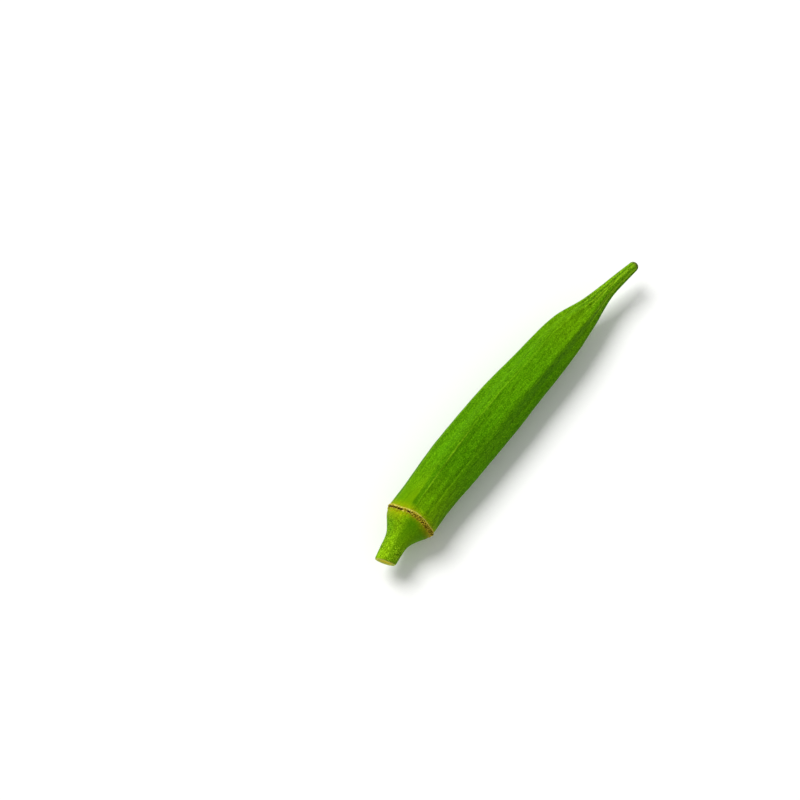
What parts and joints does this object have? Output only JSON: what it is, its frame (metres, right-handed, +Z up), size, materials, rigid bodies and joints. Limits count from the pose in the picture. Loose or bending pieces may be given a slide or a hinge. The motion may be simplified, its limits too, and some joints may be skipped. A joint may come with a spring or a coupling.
{
  "type": "okra pod",
  "caption": "Okra pod, as picked: a ridged, slightly bowed capsule drawn out into a blunt beak, with a scar ring, a cone-shaped cap and a short cut stalk, lying on its side.",
  "frame": {"origin": "under the middle of the pod's box, on the surface that it lies on", "axes": "+X along the pod from its cut stalk to its tip, +Y to the side that it bows to, +Z up"},
  "size_m": [0.132, 0.019, 0.0183],
  "materials": {
    "skin": "fresh green plant skin, satin with a fine velvety down, yellower next to the scar ring",
    "scar": "dry yellow scar tissue with a broken dark brown groove",
    "cut": "moist golden cut stalk with a pale rim and fibre bundles round a softer pith",
    "down": "short pale green plant hairs"
  },
  "bodies": {
    "root": {"pod": "skin"}
  },
  "joints": []
}
